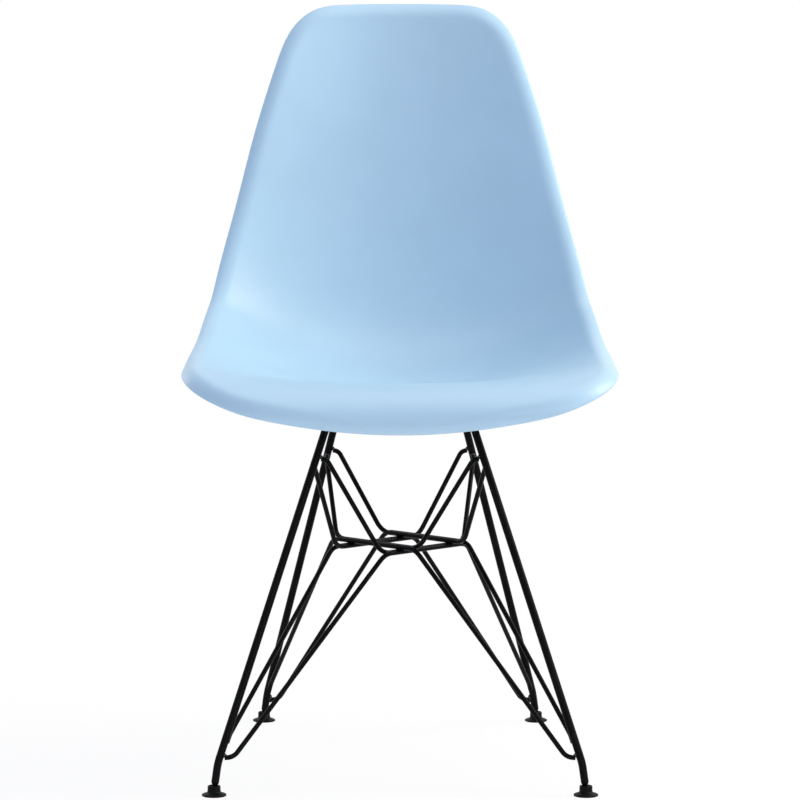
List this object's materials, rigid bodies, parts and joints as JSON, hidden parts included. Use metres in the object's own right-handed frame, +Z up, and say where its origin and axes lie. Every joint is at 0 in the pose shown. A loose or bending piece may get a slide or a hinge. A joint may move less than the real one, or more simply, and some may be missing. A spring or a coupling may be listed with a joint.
{
  "type": "moulded shell side chair",
  "caption": "Side chair: moulded plastic seat-and-back shell bolted to a welded base of bent steel rod with tilting floor glides.",
  "frame": {"origin": "on the floor, under the middle of the whole chair", "axes": "+Z up; -Y the way the sitter faces; +X to the right of someone who looks at the chair from the front"},
  "size_m": [0.4614, 0.548, 0.8319],
  "materials": {
    "shell_plastic": "light sky blue, fine satin",
    "painted_rod": "black satin powder coat",
    "glide_plastic": "black matt",
    "pad_rubber": "black",
    "insert_brass": "turned",
    "zinc_steel": "zinc plated"
  },
  "bodies": {
    "chair": {"foot_stud_back_left": "painted_rod", "foot_stud_back_right": "painted_rod", "foot_stud_front_left": "painted_rod", "foot_stud_front_right": "painted_rod", "lower_brace_back_left": "painted_rod", "lower_brace_back_right": "painted_rod", "lower_brace_front_left": "painted_rod", "lower_brace_front_right": "painted_rod", "mount_plate_back_left": "painted_rod", "mount_plate_back_right": "painted_rod", "mount_plate_front_left": "painted_rod", "mount_plate_front_right": "painted_rod", "mounting_bolts": "zinc_steel", "rubber_pad_back_left": "pad_rubber", "rubber_pad_back_right": "pad_rubber", "rubber_pad_front_left": "pad_rubber", "rubber_pad_front_right": "pad_rubber", "seat_shell": "shell_plastic", "side_hoop_left": "painted_rod", "side_hoop_right": "painted_rod", "spring_washers": "zinc_steel", "threaded_inserts": "insert_brass", "upper_brace_back_left": "painted_rod", "upper_brace_back_right": "painted_rod", "upper_brace_front_left": "painted_rod", "upper_brace_front_right": "painted_rod", "washers": "zinc_steel"},
    "floor_glide_front_left": {"glide_front_left": "glide_plastic"},
    "floor_glide_front_right": {"glide_front_right": "glide_plastic"},
    "floor_glide_back_left": {"glide_back_left": "glide_plastic"},
    "floor_glide_back_right": {"glide_back_right": "glide_plastic"}
  },
  "joints": [
    {"name": "glide_tilt_front_left", "type": "hinge", "parent": "chair", "child": "floor_glide_front_left", "pos_m": [-0.1958, -0.2206, 0.0065], "axis": [1, 0, 0], "range_deg": [-8, 8]},
    {"name": "glide_tilt_front_right", "type": "hinge", "parent": "chair", "child": "floor_glide_front_right", "pos_m": [0.1958, -0.2206, 0.0065], "axis": [1, 0, 0], "range_deg": [-8, 8]},
    {"name": "glide_tilt_back_left", "type": "hinge", "parent": "chair", "child": "floor_glide_back_left", "pos_m": [-0.1585, 0.2154, 0.0065], "axis": [1, 0, 0], "range_deg": [-8, 8]},
    {"name": "glide_tilt_back_right", "type": "hinge", "parent": "chair", "child": "floor_glide_back_right", "pos_m": [0.1585, 0.2154, 0.0065], "axis": [1, 0, 0], "range_deg": [-8, 8]}
  ]
}
